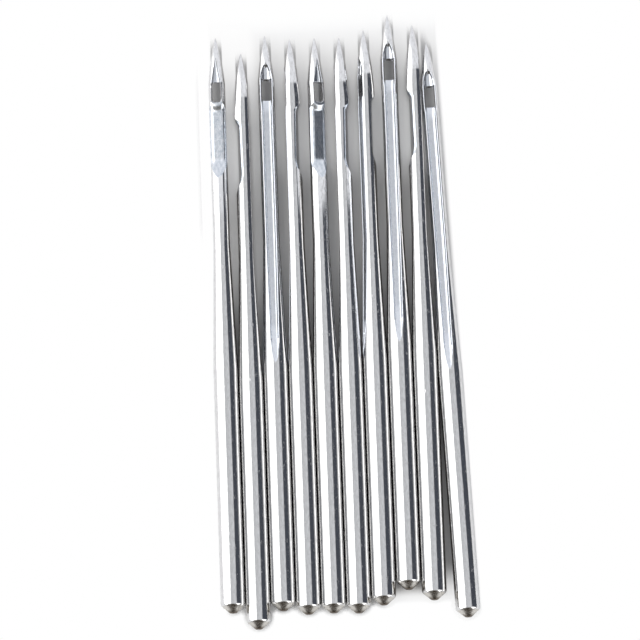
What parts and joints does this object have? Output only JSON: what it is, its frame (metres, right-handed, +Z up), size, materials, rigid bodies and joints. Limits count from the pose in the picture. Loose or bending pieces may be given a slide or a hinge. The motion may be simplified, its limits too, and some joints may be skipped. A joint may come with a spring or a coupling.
{
  "type": "industrial sewing machine needle set",
  "caption": "Round-shank industrial sewing machine needles lying side by side, each with a long shoulder, a thread groove, an eye, a scarf and a slender point.",
  "frame": {"origin": "middle of the row's bounding box, on the surface that the needles lie on", "axes": "+Y along the needles towards their points, +X across the row to the right, +Z up"},
  "size_m": [0.017, 0.0408, 0.0016],
  "materials": {
    "polished_steel": "polished and plated, with fine grinding lines"
  },
  "bodies": {
    "needle_05": {"needle_05": "polished_steel"},
    "needle_01": {"needle_01": "polished_steel"},
    "needle_02": {"needle_02": "polished_steel"},
    "needle_03": {"needle_03": "polished_steel"},
    "needle_04": {"needle_04": "polished_steel"},
    "needle_06": {"needle_06": "polished_steel"},
    "needle_07": {"needle_07": "polished_steel"},
    "needle_08": {"needle_08": "polished_steel"},
    "needle_09": {"needle_09": "polished_steel"},
    "needle_10": {"needle_10": "polished_steel"}
  },
  "joints": [
    {"name": "lift_01", "type": "slide", "parent": "needle_05", "child": "needle_01", "axis": [0, 0, 1], "range_m": [0, 0.02]},
    {"name": "lift_02", "type": "slide", "parent": "needle_05", "child": "needle_02", "axis": [0, 0, 1], "range_m": [0, 0.02]},
    {"name": "lift_03", "type": "slide", "parent": "needle_05", "child": "needle_03", "axis": [0, 0, 1], "range_m": [0, 0.02]},
    {"name": "lift_04", "type": "slide", "parent": "needle_05", "child": "needle_04", "axis": [0, 0, 1], "range_m": [0, 0.02]},
    {"name": "lift_06", "type": "slide", "parent": "needle_05", "child": "needle_06", "axis": [0, 0, 1], "range_m": [0, 0.02]},
    {"name": "lift_07", "type": "slide", "parent": "needle_05", "child": "needle_07", "axis": [0, 0, 1], "range_m": [0, 0.02]},
    {"name": "lift_08", "type": "slide", "parent": "needle_05", "child": "needle_08", "axis": [0, 0, 1], "range_m": [0, 0.02]},
    {"name": "lift_09", "type": "slide", "parent": "needle_05", "child": "needle_09", "axis": [0, 0, 1], "range_m": [0, 0.02]},
    {"name": "lift_10", "type": "slide", "parent": "needle_05", "child": "needle_10", "axis": [0, 0, 1], "range_m": [0, 0.02]}
  ]
}
